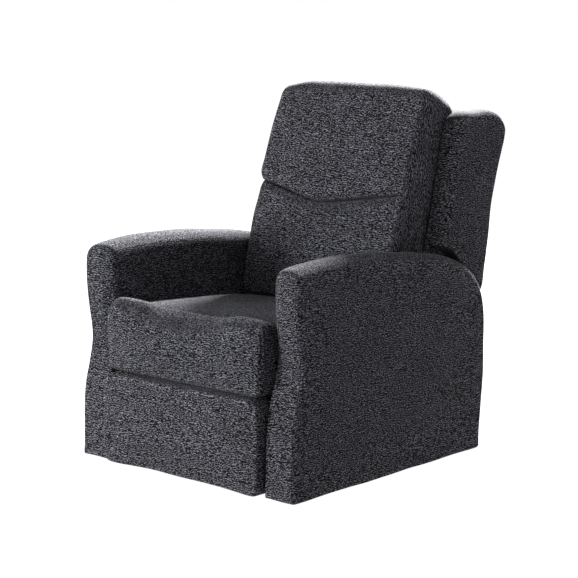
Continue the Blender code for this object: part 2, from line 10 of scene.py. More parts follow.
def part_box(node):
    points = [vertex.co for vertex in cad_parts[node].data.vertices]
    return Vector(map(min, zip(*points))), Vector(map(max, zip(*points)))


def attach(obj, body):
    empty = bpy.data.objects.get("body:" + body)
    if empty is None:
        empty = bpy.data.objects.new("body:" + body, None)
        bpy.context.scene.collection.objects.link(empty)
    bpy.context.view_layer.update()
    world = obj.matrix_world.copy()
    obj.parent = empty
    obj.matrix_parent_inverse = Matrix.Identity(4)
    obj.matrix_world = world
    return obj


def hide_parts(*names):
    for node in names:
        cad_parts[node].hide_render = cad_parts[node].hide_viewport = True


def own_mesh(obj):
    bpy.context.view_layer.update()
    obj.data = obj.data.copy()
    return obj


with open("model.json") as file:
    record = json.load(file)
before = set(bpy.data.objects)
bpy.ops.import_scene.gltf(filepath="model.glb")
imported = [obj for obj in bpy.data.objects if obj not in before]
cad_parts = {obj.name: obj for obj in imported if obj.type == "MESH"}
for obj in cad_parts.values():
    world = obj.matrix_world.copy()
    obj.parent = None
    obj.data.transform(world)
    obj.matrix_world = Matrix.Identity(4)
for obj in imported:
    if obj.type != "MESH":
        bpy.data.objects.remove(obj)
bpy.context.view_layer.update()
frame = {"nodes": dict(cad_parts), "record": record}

# Recliner armchair in charcoal melange cloth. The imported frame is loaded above. Every upholstered piece below
# stands for the CAD solid of the same place, and the wood, steel, webbing and plastic nodes get a finish.
# Metres, +Z up, the chair faces -Y, and +X is the occupant's left.

# Places read from the frame
ARM_LOW, ARM_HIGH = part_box("arm_cover_l")
WING_LOW, WING_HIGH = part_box("wing_l")
_, SEAT_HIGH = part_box("seat_cushion")
FOOT_LOW, FOOT_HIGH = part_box("footrest_pad")
_, PILLOW_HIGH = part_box("head_pillow")
_, SHELL_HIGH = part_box("outside_back")
COVER_LOW, COVER_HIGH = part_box("dust_cover")

# Side outlines in (y, z), each run clockwise from its front foot
ARM_PROFILE = [
    (-0.486, 0.0015), (-0.4855, 0.06), (-0.4845, 0.11), (-0.482, 0.17), (-0.475, 0.22),
    (-0.462, 0.268), (-0.4505, 0.313), (-0.447, 0.34), (-0.45, 0.38), (-0.4585, 0.425),
    (-0.4645, 0.47), (-0.4665, 0.52), (-0.4665, 0.57), (-0.464, 0.595), (-0.457, 0.608),
    (-0.435, 0.6135), (-0.385, 0.618), (-0.3, 0.6225), (-0.115, 0.6175), (0.06, 0.599),
    (0.151, 0.585), (0.221, 0.566), (0.272, 0.545), (0.311, 0.513), (0.336, 0.472),
    (0.348, 0.41), (0.352, 0.345), (0.35, 0.23), (0.341, 0.115), (0.334, 0.05), (0.33, 0.0015),
]
WING_PROFILE = [
    (0.214, 0.612), (0.222, 0.645), (0.252, 0.77), (0.285, 0.915), (0.2975, 0.949), (0.327, 0.966),
    (0.4, 0.97), (0.464, 0.969), (0.501, 0.953), (0.523, 0.915), (0.519, 0.885),
    (0.505, 0.845), (0.48, 0.77), (0.459, 0.69), (0.446, 0.606), (0.431, 0.519),
    (0.419, 0.456), (0.39, 0.43), (0.362, 0.455), (0.325, 0.525), (0.28, 0.569),
    (0.24, 0.588), (0.218, 0.594),
]
SEAT_PROFILE = [
    (-0.493, 0.27), (-0.503, 0.285), (-0.506, 0.31), (-0.507, 0.36), (-0.506, 0.405),
    (-0.499, 0.433), (-0.482, 0.451), (-0.456, 0.458), (-0.429, 0.452), (-0.403, 0.443),
    (-0.33, 0.44), (-0.2, 0.434), (-0.05, 0.425), (0.05, 0.415), (0.095, 0.404),
    (0.106, 0.388), (0.1, 0.37), (0.05, 0.362), (-0.2, 0.361), (-0.4, 0.361),
    (-0.433, 0.356), (-0.441, 0.34), (-0.441, 0.31), (-0.443, 0.28), (-0.456, 0.268),
    (-0.48, 0.267),
]
BACK_PROFILE = [
    (0.05, 0.43), (0.045, 0.46), (0.047, 0.484), (0.057, 0.543), (0.075, 0.617),
    (0.093, 0.672), (0.106, 0.706), (0.111, 0.72), (0.118, 0.755), (0.136, 0.815),
    (0.161, 0.888), (0.188, 0.956), (0.204, 0.993), (0.219, 1.022), (0.236, 1.036),
    (0.257, 1.035), (0.293, 1.019), (0.326, 1.001), (0.348, 0.985), (0.359, 0.962),
    (0.347, 0.914), (0.327, 0.85), (0.296, 0.77), (0.264, 0.68), (0.234, 0.59),
    (0.204, 0.5), (0.18, 0.428), (0.16, 0.412), (0.1, 0.41), (0.065, 0.414),
]
# Height of the tuck seam across the back, as (x, z)
TUCK_LINE = [
    (-0.3, 0.752), (-0.26, 0.749), (-0.227, 0.745), (-0.187, 0.7365), (-0.148, 0.7275),
    (-0.108, 0.7185), (-0.07, 0.711), (-0.035, 0.708), (0.007, 0.7105),
    (0.083, 0.7205), (0.157, 0.732), (0.211, 0.7395), (0.258, 0.745), (0.3, 0.748),
]
SEAT_HALF = SEAT_HIGH.x
# The cushion is a little wider than its pillow in the frame, so that it meets the wings
BACK_HALF = PILLOW_HIGH.x + 0.0100
RIM_STEPS = 6
# The soft lower corners of the seat's front roll lie outside this x and below this height
CORNER_INNER = 0.268
CORNER_TOP = 0.352
# The piped seam at the ends of the front roll
PIPING_Y = -0.480
PIPING_RADIUS = 0.0050
STITCH_RADIUS = 0.0022
STITCH_OFFSET = 0.0075
# The bend, in 1/m, that counts as a sharp edge of the cloth
SHARP_BEND = 26.0
# Which way x points on each side, and the end of its pieces' names
SIDES = ((1, "_l"), (-1, "_r"))


# ---------------------------------------------------------------- numbers and curves


def smoothstep(low, high, value):
    t = np.clip((np.asarray(value, float) - low) / (high - low), 0.0, 1.0)
    return t * t * (3 - 2 * t)


def bump(value, centre, width):
    """A soft hump of height 1 around centre."""
    return np.exp(-(((np.asarray(value, float) - centre) / width) ** 2))


def spline(points, closed=True, per_span=14):
    """A fine centripetal Catmull-Rom line through points."""
    p = np.asarray(points, float)
    count = len(p)
    spans = count if closed else count - 1
    line = []
    for i in range(spans):
        if closed:
            a, b, c, d = (p[(i + k) % count] for k in (-1, 0, 1, 2))
        else:
            a, b, c, d = (p[min(max(i + k, 0), count - 1)] for k in (-1, 0, 1, 2))
        da, db, dc = (max(math.sqrt(np.linalg.norm(v)), 1e-4) for v in (b - a, c - b, d - c))
        out_b = ((b - a) / da - (c - a) / (da + db) + (c - b) / db) * db
        in_c = ((c - b) / db - (d - b) / (db + dc) + (d - c) / dc) * db
        if not closed and i == 0:
            out_b = (c - b)
        if not closed and i == spans - 1:
            in_c = (c - b)
        for k in range(per_span):
            t = k / per_span
            h1 = 2 * t**3 - 3 * t**2 + 1
            h2 = t**3 - 2 * t**2 + t
            h3 = -2 * t**3 + 3 * t**2
            h4 = t**3 - t**2
            line.append(h1 * b + h2 * out_b + h3 * c + h4 * in_c)
    if not closed:
        line.append(p[-1])
    return np.array(line)


def spaced(line, count, closed=True, density=None):
    """count points along line, evenly spaced or closer where density is higher."""
    p = np.vstack([line, line[:1]]) if closed else line
    steps = np.linalg.norm(np.diff(p, axis=0), axis=1)
    if density is not None:
        steps = steps * np.array([density(*m) for m in (p[1:] + p[:-1]) / 2])
    along = np.concatenate([[0], np.cumsum(steps)])
    places = np.linspace(0, along[-1], count + 1)[:-1] if closed else np.linspace(0, along[-1], count)
    return np.stack([np.interp(places, along, p[:, k]) for k in range(2)], axis=1)


def outward(outline):
    """Unit normals of a clockwise closed outline, pointing out."""
    ahead = np.roll(outline, -1, axis=0)
    behind = np.roll(outline, 1, axis=0)
    along = ahead - behind
    normal = np.stack([-along[:, 1], along[:, 0]], axis=1)
    return normal / np.maximum(np.linalg.norm(normal, axis=1, keepdims=True), 1e-9)


def closed_smooth(values, passes):
    for _ in range(passes):
        values = (np.roll(values, 1, axis=0) + 2 * values + np.roll(values, -1, axis=0)) / 4
    return values


# ---------------------------------------------------------------- meshes


def linked(name, data):
    """A new object of this data, in the scene."""
    obj = bpy.data.objects.new(name, data)
    bpy.context.scene.collection.objects.link(obj)
    return obj


def mesh_object(name, rings, order="xyz"):
    """A closed surface through rings of equal, even length. Its two ends are filled with strips."""
    rings = [np.asarray(r, float) for r in rings]
    count = len(rings[0])
    points = np.vstack(rings)
    faces = []
    for r in range(len(rings) - 1):
        base, above = r * count, (r + 1) * count
        for i in range(count):
            j = (i + 1) % count
            faces.append((base + i, base + j, above + j, above + i))
    for base in (0, (len(rings) - 1) * count):
        for i in range(count // 2 - 1):
            faces.append((base + i, base + i + 1, base + count - 2 - i, base + count - 1 - i))
    columns = ["xyz".index(c) for c in order]
    points = points[:, np.argsort(columns)]
    mesh = bpy.data.meshes.new(name)
    mesh.from_pydata(points.tolist(), [], faces)
    turned_out(mesh)
    mesh.shade_smooth()
    return linked(name, mesh)


def turned_out(mesh):
    work = bmesh.new()
    work.from_mesh(mesh)
    bmesh.ops.recalc_face_normals(work, faces=work.faces)
    if work.calc_volume(signed=True) < 0:
        bmesh.ops.reverse_faces(work, faces=work.faces)
    work.to_mesh(mesh)
    work.free()


def pad(name, outline, low, high, rims, centre, stations=5, face_rings=14, crown=(0.0, 0.0), order="xyz"):
    """A closed padded form. outline lies across the thickness, which runs from low to high. rims are the
    radii that round its low and its high edge, each one number or one for each point. crown is how far each
    face bulges, and order names the axes as (thickness, a, b)."""
    normal = outward(outline)
    low_rim, high_rim = (np.broadcast_to(r, len(outline)).astype(float) for r in rims)
    centre = np.asarray(centre, float)
    rings = []

    def ring(flat, depth):
        return np.column_stack([np.broadcast_to(depth, len(flat)), flat])

    def face(side, edge, rim, bulge):
        inset = outline - normal * rim[:, None]
        made = []
        for k in range(1, face_rings + 1):
            s = 1 - k / (face_rings + 0.35)
            made.append(ring(centre + (inset - centre) * s, edge + side * bulge * (1 - s * s)))
        return made

    def rounded(k, rim):
        angle = math.pi / 2 * k / RIM_STEPS
        return outline - normal * (rim * (1 - math.cos(angle)))[:, None], rim * (1 - math.sin(angle))

    rings += face(-1, low, low_rim, crown[0])[::-1]
    for k in range(RIM_STEPS, -1, -1):
        flat, depth = rounded(k, low_rim)
        rings.append(ring(flat, low + depth))
    for k in range(1, stations):
        t = k / stations
        rings.append(ring(outline, (low + low_rim) * (1 - t) + (high - high_rim) * t))
    for k in range(RIM_STEPS + 1):
        flat, depth = rounded(k, high_rim)
        rings.append(ring(flat, high - depth))
    rings += face(1, high, high_rim, crown[1])
    return mesh_object(name, rings, order)


def points_of(obj):
    co = np.empty(len(obj.data.vertices) * 3)
    obj.data.vertices.foreach_get("co", co)
    return co.reshape(-1, 3)


def normals_of(obj):
    value = np.empty(len(obj.data.vertices) * 3, np.float32)
    obj.data.vertex_normals.foreach_get("vector", value)
    return value.reshape(-1, 3).astype(float)


def move_points(obj, change):
    """change takes the points and their normals, and gives the new points."""
    co = points_of(obj)
    new = change(co.copy(), normals_of(obj))
    obj.data.vertices.foreach_set("co", new.ravel())
    obj.data.update()
    return obj


def apply_modifiers(obj):
    graph = bpy.context.evaluated_depsgraph_get()
    mesh = bpy.data.meshes.new_from_object(obj.evaluated_get(graph), depsgraph=graph)
    old = obj.data
    obj.modifiers.clear()
    obj.data = mesh
    mesh.name = obj.name
    bpy.data.meshes.remove(old)
    obj.data.shade_smooth()
    return obj


def subdivided(obj):
    modifier = obj.modifiers.new("Smooth", "SUBSURF")
    modifier.levels = modifier.render_levels = 1
    modifier.boundary_smooth = "PRESERVE_CORNERS"
    return apply_modifiers(obj)


def rumpled(obj, size, height, seed, keep=None):
    """Shallow irregular waves, as in cloth over foam."""
    def change(co, normal):
        offset = Vector((seed * 3.1, seed * 1.7, seed * 0.9))
        wave = np.array([noise.noise(Vector(p) / size + offset) for p in co])
        if keep is not None:
            wave = wave * keep(co)
        return co + normal * (wave * height)[:, None]
    return move_points(obj, change)


def remeshed(obj, voxel):
    modifier = obj.modifiers.new("Voxels", "REMESH")
    modifier.mode = "VOXEL"
    modifier.voxel_size = voxel
    return apply_modifiers(obj)


INFLATED_FRAMES = 20
INFLATED_PRESSURE = 4.0
INFLATED_VOXEL = 0.0055
MOST_INFLATED = 0.024


def inflated(obj, held, inset=0.005):
    """Cloth simulation under air pressure. held takes points and gives 0 where the cloth is free to 1 where
    it is sewn or rests on the frame. It starts inset from its place, and moves by MOST_INFLATED at most."""
    move_points(obj, lambda co, normal: co - normal * (inset * (1 - held(co)))[:, None])
    remeshed(obj, INFLATED_VOXEL)
    start = points_of(obj)
    group = obj.vertex_groups.new(name="sewn")
    weights = np.round(np.clip(held(start), 0, 1), 1)
    for weight in np.unique(weights):
        if weight > 0:
            group.add(np.flatnonzero(weights == weight).tolist(), float(weight), "REPLACE")
    modifier = obj.modifiers.new("Cloth", "CLOTH")
    cloth = modifier.settings
    cloth.quality = 4
    cloth.mass = 0.25
    cloth.use_pressure = True
    cloth.uniform_pressure_force = INFLATED_PRESSURE
    cloth.vertex_group_mass = "sewn"
    cloth.tension_stiffness = cloth.compression_stiffness = 12.0
    cloth.shear_stiffness = 6.0
    cloth.bending_stiffness = 0.6
    cloth.effector_weights.gravity = 0.0
    modifier.point_cache.frame_start = 1
    modifier.point_cache.frame_end = INFLATED_FRAMES
    for frame_number in range(1, INFLATED_FRAMES + 1):
        bpy.context.scene.frame_set(frame_number)
    apply_modifiers(obj)
    bpy.context.scene.frame_set(1)
    obj.vertex_groups.clear()
    moved = points_of(obj) - start
    length = np.maximum(np.linalg.norm(moved, axis=1, keepdims=True), 1e-9)
    new = start + moved * np.minimum(1.0, MOST_INFLATED / length)
    obj.data.vertices.foreach_set("co", new.ravel())
    obj.data.update()
    return subdivided(obj)


# ---------------------------------------------------------------- cloth attributes and materials


def cloth_attributes(obj):
    """Stores for the materials how far each point faces up or sideways at rest, and how far it stands out."""
    mesh = obj.data
    normal = normals_of(obj)
    co = points_of(obj)
    edges = np.empty(len(mesh.edges) * 2, np.int64)
    mesh.edges.foreach_get("vertices", edges)
    edges = edges.reshape(-1, 2)
    a, b = edges[:, 0], edges[:, 1]
    along = co[b] - co[a]
    length = np.maximum(np.linalg.norm(along, axis=1), 1e-6)
    bend = np.zeros(len(co))
    share = np.zeros(len(co))
    for start, away in ((a, along), (b, -along)):
        np.add.at(bend, start, -(away * normal[start]).sum(axis=1) / length**2)
        np.add.at(share, start, 1.0)
    bend = bend / np.maximum(share, 1.0)
    for _ in range(3):
        total = bend.copy()
        np.add.at(total, a, bend[b])
        np.add.at(total, b, bend[a])
        bend = total / (share + 1)
    values = {
        "top": smoothstep(0.45, 0.85, np.abs(normal[:, 2])),
        "side": smoothstep(0.45, 0.80, np.abs(normal[:, 0])),
        "edge": np.clip(bend / SHARP_BEND, -1.0, 1.0) * 0.5 + 0.5,
    }
    for name, value in values.items():
        attribute = mesh.attributes.get(name) or mesh.attributes.new(name, "FLOAT", "POINT")
        attribute.data.foreach_set("value", value.astype(np.float32))
    return obj


class Nodes:
    """Short calls to build a node tree."""

    def __init__(self, name):
        self.material = bpy.data.materials.new(name)
        self.material.use_nodes = True
        self.tree = self.material.node_tree
        self.shader = self.tree.nodes["Principled BSDF"]

    def add(self, kind, settings=None, inputs=None):
        node = self.tree.nodes.new(kind)
        for key, value in (settings or {}).items():
            setattr(node, key, value)
        for key, value in (inputs or {}).items():
            self.set(node.inputs[key], value)
        return node

    def set(self, socket, value):
        if isinstance(value, bpy.types.NodeSocket):
            self.tree.links.new(value, socket)
        else:
            socket.default_value = value

    def math(self, operation, *values):
        node = self.add("ShaderNodeMath", {"operation": operation})
        for socket, value in zip(node.inputs, values):
            self.set(socket, value)
        return node.outputs[0]

    def mix(self, factor, first, second, kind="FLOAT", blend="MIX"):
        settings = {"data_type": kind}
        if kind == "RGBA":
            settings["blend_type"] = blend
        node = self.add("ShaderNodeMix", settings)
        index = {"FLOAT": (2, 3, 0), "RGBA": (6, 7, 2)}[kind]
        self.set(node.inputs[0], factor)
        self.set(node.inputs[index[0]], first)
        self.set(node.inputs[index[1]], second)
        return node.outputs[index[2]]

    def place(self):
        return self.add("ShaderNodeTexCoord").outputs["Object"]

    def scaled(self, vector, scale, shift=(0.0, 0.0, 0.0)):
        node = self.add("ShaderNodeMapping", inputs={"Vector": vector, "Scale": scale, "Location": shift})
        return node.outputs[0]

    def noise(self, vector, scale=1.0, detail=2.0, roughness=0.5):
        values = {"Vector": vector, "Scale": scale, "Detail": detail, "Roughness": roughness}
        return self.add("ShaderNodeTexNoise", {"noise_dimensions": "3D"}, values).outputs[0]

    def ramp(self, factor, stops):
        node = self.add("ShaderNodeValToRGB", inputs={"Fac": factor})
        node.color_ramp.interpolation = "LINEAR"
        elements = node.color_ramp.elements
        while len(elements) > 1:
            elements.remove(elements[-1])
        elements[0].position, elements[0].color = stops[0][0], grey(stops[0][1])
        for position, colour in stops[1:]:
            elements.new(position).color = grey(colour)
        return node.outputs["Color"]

    def attribute(self, name):
        return self.add("ShaderNodeAttribute", {"attribute_name": name}).outputs["Fac"]

    def bump(self, height, strength, distance):
        values = {"Height": height, "Strength": strength, "Distance": distance}
        return self.add("ShaderNodeBump", inputs=values).outputs[0]

    def finish(self, **values):
        for key, value in values.items():
            self.set(self.shader.inputs[key.replace("_", " ")], value)
        return self.material


def grey(value):
    if isinstance(value, (int, float)):
        return (value, value, value, 1.0)
    return (*value, 1.0)


def scaled_colour(colour, factor):
    return tuple(c * factor for c in colour)


# The cloth: the length and width of a slub, the pitch of the rows they lie in, and of the weave's threads
SLUB_LONG, SLUB_WIDE = 0.0056, 0.0015
FLECK_LONG, FLECK_SHORT = 1 / SLUB_LONG, 1 / SLUB_WIDE
ROW_PITCH = 0.0060
ROW_SHARE = 0.085
ROW_DRIFT = 26.0
WARP_PITCH, WEFT_PITCH = 0.0030, 0.0022
CLOTH_COLOUR = (0.0087, 0.0087, 0.0101)


def melange(name, walls=(1, 1, 0), tops=(1, 0, 0), sides=None, painted_top_shade=1.0):
    """Charcoal melange cloth. walls, tops and sides mark with 1 the axes that the slubs run along on faces
    that stand, on faces that look up, and on faces that look sideways. The last argument
    scales the colour on tops, as painted shade."""
    n = Nodes(name)
    place = n.place()

    def scale_for(axes):
        return tuple(FLECK_LONG if a else FLECK_SHORT for a in axes)

    def slubs(axes, shift):
        warped = n.scaled(place, scale_for(axes), shift)
        return n.noise(warped, 1.0, 1.0, 0.45)

    top = n.attribute("top")
    fleck = n.mix(top, slubs(walls, (0, 0, 0)), slubs(tops, (5, 2, 1)))
    side = n.attribute("side")
    if sides is not None:
        fleck = n.mix(side, fleck, slubs(sides, (3, 7, 4)))
    axes = n.add("ShaderNodeSeparateXYZ", inputs={"Vector": place}).outputs
    up = n.mix(top, axes[2], axes[1])
    if sides is not None:
        up = n.mix(side, up, axes[1])
    drift = n.noise(n.scaled(place, (38, 38, 38)), 1.0, 2.0, 0.6)
    phase = n.math("MULTIPLY", drift, ROW_DRIFT)
    rows = n.math("SINE", n.math("ADD", n.math("MULTIPLY", up, 2 * math.pi / ROW_PITCH), phase))
    fleck = n.math("ADD", fleck, n.math("MULTIPLY", rows, ROW_SHARE))
    fine = n.noise(n.scaled(place, (420, 420, 640)), 1.0, 2.0, 0.6)
    broad = n.noise(n.scaled(place, (5.0, 5.0, 6.5)), 1.0, 2.0, 0.5)
    tones = ((0.32, 0.05), (0.44, 0.12), (0.49, 0.45), (0.54, 1.7), (0.59, 5.3), (0.65, 11.5))
    colour = n.ramp(fleck, [(position, scaled_colour(CLOTH_COLOUR, tone)) for position, tone in tones])
    speckle = n.ramp(fine, [(0.34, 0.50), (0.50, 0.95), (0.64, 1.55)])
    colour = n.mix(1.0, colour, speckle, "RGBA", "MULTIPLY")
    shade = n.ramp(broad, [(0.30, 0.90), (0.70, 1.10)])
    colour = n.mix(1.0, colour, shade, "RGBA", "MULTIPLY")
    # Painted shade: the colour on faces that look up is scaled by the given factor, so lit tops read darker.
    if painted_top_shade != 1.0:
        colour = n.mix(1.0, colour, n.ramp(top, [(0.0, 1.0), (1.0, painted_top_shade)]), "RGBA", "MULTIPLY")
    # Painted shade: the cloth is darkened to 0.62 in its creases and inward bends. On outward bends it is made
    # up to 1.22 times lighter.
    edge = n.attribute("edge")
    crease_shade_and_edge_lift = n.ramp(edge, [(0.10, 0.62), (0.44, 0.96), (0.56, 1.0), (0.80, 1.22)])
    colour = n.mix(1.0, colour, crease_shade_and_edge_lift, "RGBA", "MULTIPLY")

    across = n.math("ADD", axes[0], n.math("MULTIPLY", axes[1], n.math("SUBTRACT", 1.0, top)))
    wobble = n.noise(n.scaled(place, (60, 60, 60)), 1.0, 1.0, 0.5)
    warp = n.math("SINE", n.math("ADD", n.math("MULTIPLY", across, 2 * math.pi / WARP_PITCH), wobble))
    weft = n.math("SINE", n.math("ADD", n.math("MULTIPLY", up, 2 * math.pi / WEFT_PITCH), wobble))
    weave = n.math("ADD", n.math("MULTIPLY", warp, 0.5), weft)
    weave = n.math("MULTIPLY", weave, 0.20)
    height = n.math("ADD", n.math("MULTIPLY", fleck, 2.4), n.math("ADD", weave, fine))
    normal = n.bump(height, 0.38, 0.0010)
    rough = n.ramp(fleck, [(0.35, 0.97), (0.70, 0.86)])
    return n.finish(
        Base_Color=colour, Roughness=rough, Normal=normal, Specular_IOR_Level=0.06,
        Sheen_Weight=0.04, Sheen_Roughness=0.30, Sheen_Tint=(0.80, 0.82, 0.86, 1.0),
    )


def thread_material():
    n = Nodes("cloth_thread")
    twist = n.noise(n.scaled(n.place(), (900, 900, 900)), 1.0, 1.0)
    colour = n.ramp(twist, [(0.3, (0.003, 0.003, 0.0035)), (0.7, (0.012, 0.012, 0.014))])
    return n.finish(
        Base_Color=colour, Roughness=0.85, Normal=n.bump(twist, 0.4, 0.0004), Specular_IOR_Level=0.06,
        Sheen_Weight=0.03,
    )


def wood_material():
    n = Nodes("wood_frame")
    place = n.place()
    long_grain = n.noise(n.scaled(place, (55, 9, 9)), 1.0, 5.0, 0.6)
    bent = n.math("ADD", long_grain, n.noise(n.scaled(place, (2, 3, 3))))
    ring = n.math("SINE", n.math("MULTIPLY", bent, 34.0))
    mixed = n.mix(0.35, long_grain, n.math("MULTIPLY_ADD", ring, 0.5, 0.5))
    colour = n.ramp(mixed, [
        (0.15, (0.30, 0.17, 0.075)), (0.45, (0.50, 0.34, 0.18)), (0.60, (0.60, 0.43, 0.25)),
        (0.85, (0.68, 0.52, 0.33)),
    ])
    pores = n.noise(n.scaled(place, (900, 60, 60)), 1.0, 2.0)
    rough = n.ramp(pores, [(0.3, 0.50), (0.7, 0.72)])
    return n.finish(Base_Color=colour, Roughness=rough, Normal=n.bump(pores, 0.25, 0.0004))


def metal_material(name, dark, light, metallic, rough, grain, bump_height=0.0002):
    n = Nodes(name)
    place = n.place()
    streak = n.noise(n.scaled(place, grain), 1.0, 4.0, 0.65)
    cloud = n.noise(n.scaled(place, (26, 26, 26)), 1.0, 3.0)
    colour = n.ramp(n.mix(0.5, streak, cloud), [(0.30, dark), (0.62, light)])
    uneven = n.ramp(streak, [(0.3, rough - 0.08), (0.7, rough + 0.12)])
    return n.finish(
        Base_Color=colour, Metallic=metallic, Roughness=uneven, Normal=n.bump(streak, 0.25, bump_height)
    )


def webbing_material():
    n = Nodes("seat_webbing")
    place = n.place()
    axes = n.add("ShaderNodeSeparateXYZ", inputs={"Vector": place}).outputs
    rib = n.math("SINE", n.math("MULTIPLY", axes[0], 2 * math.pi / 0.0034))
    cord = n.math("SINE", n.math("MULTIPLY", axes[2], 2 * math.pi / 0.0042))
    weave = n.math("MULTIPLY_ADD", n.math("MULTIPLY", rib, cord), 0.5, 0.5)
    stripe = n.math("GREATER_THAN", n.math("SINE", n.math("MULTIPLY", axes[2], 2 * math.pi / 0.030)), 0.72)
    soil = n.noise(n.scaled(place, (40, 40, 40)), 1.0, 3.0)
    colour = n.ramp(n.mix(0.4, weave, soil), [(0.2, (0.34, 0.31, 0.25)), (0.75, (0.66, 0.62, 0.53))])
    colour = n.mix(stripe, colour, (0.09, 0.12, 0.20, 1.0), "RGBA")
    return n.finish(Base_Color=colour, Roughness=0.86, Normal=n.bump(weave, 0.6, 0.0009), Sheen_Weight=0.15)


def cambric_material():
    n = Nodes("dust_cambric")
    place = n.place()
    fibre = n.noise(n.scaled(place, (700, 700, 700)), 1.0, 4.0, 0.7)
    dots = n.add("ShaderNodeTexVoronoi", inputs={"Vector": place, "Scale": 420.0, "Randomness": 0.15})
    pressed = n.ramp(dots.outputs["Distance"], [(0.18, 0.0), (0.34, 1.0)])
    colour = n.ramp(n.mix(0.45, fibre, pressed), [(0.2, (0.006, 0.006, 0.007)), (0.8, (0.040, 0.040, 0.043))])
    return n.finish(Base_Color=colour, Roughness=0.93, Normal=n.bump(pressed, 0.4, 0.0003), Sheen_Weight=0.2)


def plastic_material():
    n = Nodes("release_moulding")
    place = n.place()
    pebble = n.noise(n.scaled(place, (1500, 1500, 1500)), 1.0, 2.0)
    rub = n.noise(n.scaled(place, (38, 38, 38)), 1.0, 4.0, 0.7)
    colour = n.ramp(rub, [(0.35, (0.010, 0.010, 0.011)), (0.72, (0.026, 0.026, 0.028))])
    rough = n.ramp(rub, [(0.3, 0.38), (0.7, 0.56)])
    return n.finish(Base_Color=colour, Roughness=rough, Normal=n.bump(pebble, 0.3, 0.0002))


def finished(obj, material, body, slot, *replaced, fill=None):
    """Gives a new piece its material and body, and hides the CAD nodes that it stands for. slot is not used."""
    obj.data.materials.clear()
    obj.data.materials.append(material)
    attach(obj, body)
    if replaced:
        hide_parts(*replaced)
    return obj


# ---------------------------------------------------------------- arms


# The crest of the arm's top, as (y, z)
ARM_CREST = [
    (-0.5, 0.609), (-0.446, 0.6115), (-0.385, 0.618), (-0.3, 0.6225), (-0.115, 0.6175),
    (0.06, 0.599), (0.151, 0.585), (0.221, 0.566), (0.272, 0.545), (0.311, 0.513), (0.336, 0.472),
]
# How far the front panel turns back at its inner edge, and between which heights the turn comes in
ARM_TURN = 0.034
TURN_HEIGHTS = (0.29, 0.43)
# The release handle's pocket: its middle (y, z), half sizes, corner radius and depth
POCKET = (-0.200, 0.420, 0.0655, 0.0395, 0.014)
POCKET_DEPTH = 0.0312


def fallen(distance, reach, height):
    """How far an arched edge has fallen at a distance in from it."""
    t = np.clip(1 - distance / reach, 0, 1)
    return height * (1 - np.sqrt(1 - t * t))


def arm_front(z):
    """Where the arm's front panel lies at a height."""
    line = np.array(ARM_PROFILE[:12])
    return np.interp(z, line[:, 1], line[:, 0])


def arm_arch(co, normal):
    """Rounds the arm over its width into an arch, and turns its front panel back towards the seat."""
    line = np.array(ARM_CREST)
    depth = np.interp(co[:, 1], line[:, 0], line[:, 1]) - co[:, 2]
    fade = np.clip(1 - depth / 0.115, 0, 1)
    inner = fallen(co[:, 0] - ARM_LOW.x, 0.044, 0.040)
    outer = fallen(ARM_HIGH.x + 0.003 - co[:, 0], 0.044, 0.039)
    behind = co[:, 1] - arm_front(co[:, 2])
    co[:, 2] -= (inner + outer) * fade
    turn = fallen(co[:, 0] - ARM_LOW.x, 0.064, ARM_TURN) * smoothstep(*TURN_HEIGHTS, co[:, 2])
    co[:, 1] += turn * np.clip(1 - behind / 0.110, 0, 1)
    return co


def slab(name, low, high, pocket):
    """A rounded block across x, used to cut the pocket of the release handle."""
    y, z, half_y, half_z, radius = pocket
    corner = []
    for cy, cz, start in ((1, 1, 0), (-1, 1, 90), (-1, -1, 180), (1, -1, 270)):
        for k in range(7):
            angle = math.radians(start + 15 * k)
            corner.append((y + cy * (half_y - radius) + radius * math.cos(angle),
                           z + cz * (half_z - radius) + radius * math.sin(angle)))
    ring = np.array(corner)
    return mesh_object(name, [np.column_stack([np.full(len(ring), x), ring]) for x in (low, high)])


def cut_pocket(obj):
    """Opens the arm's outer side where the release handle's cup sits."""
    cutter = slab("pocket_cutter", ARM_HIGH.x - POCKET_DEPTH, ARM_HIGH.x + 0.030, POCKET)
    modifier = obj.modifiers.new("Pocket", "BOOLEAN")
    modifier.operation = "DIFFERENCE"
    modifier.solver = "EXACT"
    modifier.object = cutter
    apply_modifiers(obj)
    bpy.data.objects.remove(cutter)
    obj.data.set_sharp_from_angle(angle=math.radians(60))


def tube(name, path, radius, sides=8):
    """A round cord through path."""
    path = np.asarray(path, float)
    along = np.gradient(path, axis=0)
    along /= np.linalg.norm(along, axis=1, keepdims=True)
    across = np.cross(along, (0.31, 0.23, 0.92))
    across /= np.linalg.norm(across, axis=1, keepdims=True)
    third = np.cross(along, across)
    turns = np.linspace(0, 2 * math.pi, sides, endpoint=False)
    rings = [p + radius * (np.outer(np.cos(turns), a) + np.outer(np.sin(turns), b))
             for p, a, b in zip(path, across, third)]
    return mesh_object(name, rings)


def on_surface(obj, path, sink=0.0):
    """The path moved onto the nearest places of obj's surface."""
    placed = []
    for p in path:
        found, place, normal, _ = obj.closest_point_on_mesh(Vector(p))
        placed.append(np.array(place - normal * sink) if found else np.asarray(p))
    return np.array(placed)


def arm_seam(obj, suffix):
    """The seam that joins the arm's front panel to its sides, over the arch."""
    left, right = ARM_LOW.x - 0.001, ARM_HIGH.x - 0.005
    middle, half = (left + right) / 2, (right - left) / 2
    path = [(left, float(arm_front(z) + ARM_TURN * smoothstep(*TURN_HEIGHTS, z)) + 0.004, z)
            for z in np.linspace(0.006, 0.555, 90)]
    for t in np.linspace(0.05, math.pi - 0.05, 40):
        depth = -0.4690 + ARM_TURN * max(math.cos(t), 0.0) ** 2
        path.append((middle - half * math.cos(t), depth, 0.555 + 0.046 * math.sin(t)))
    path += [(right, -0.4850, z) for z in np.linspace(0.555, 0.006, 90)]
    return tube("arm_seam" + suffix, on_surface(obj, path, 0.0005), 0.0011)


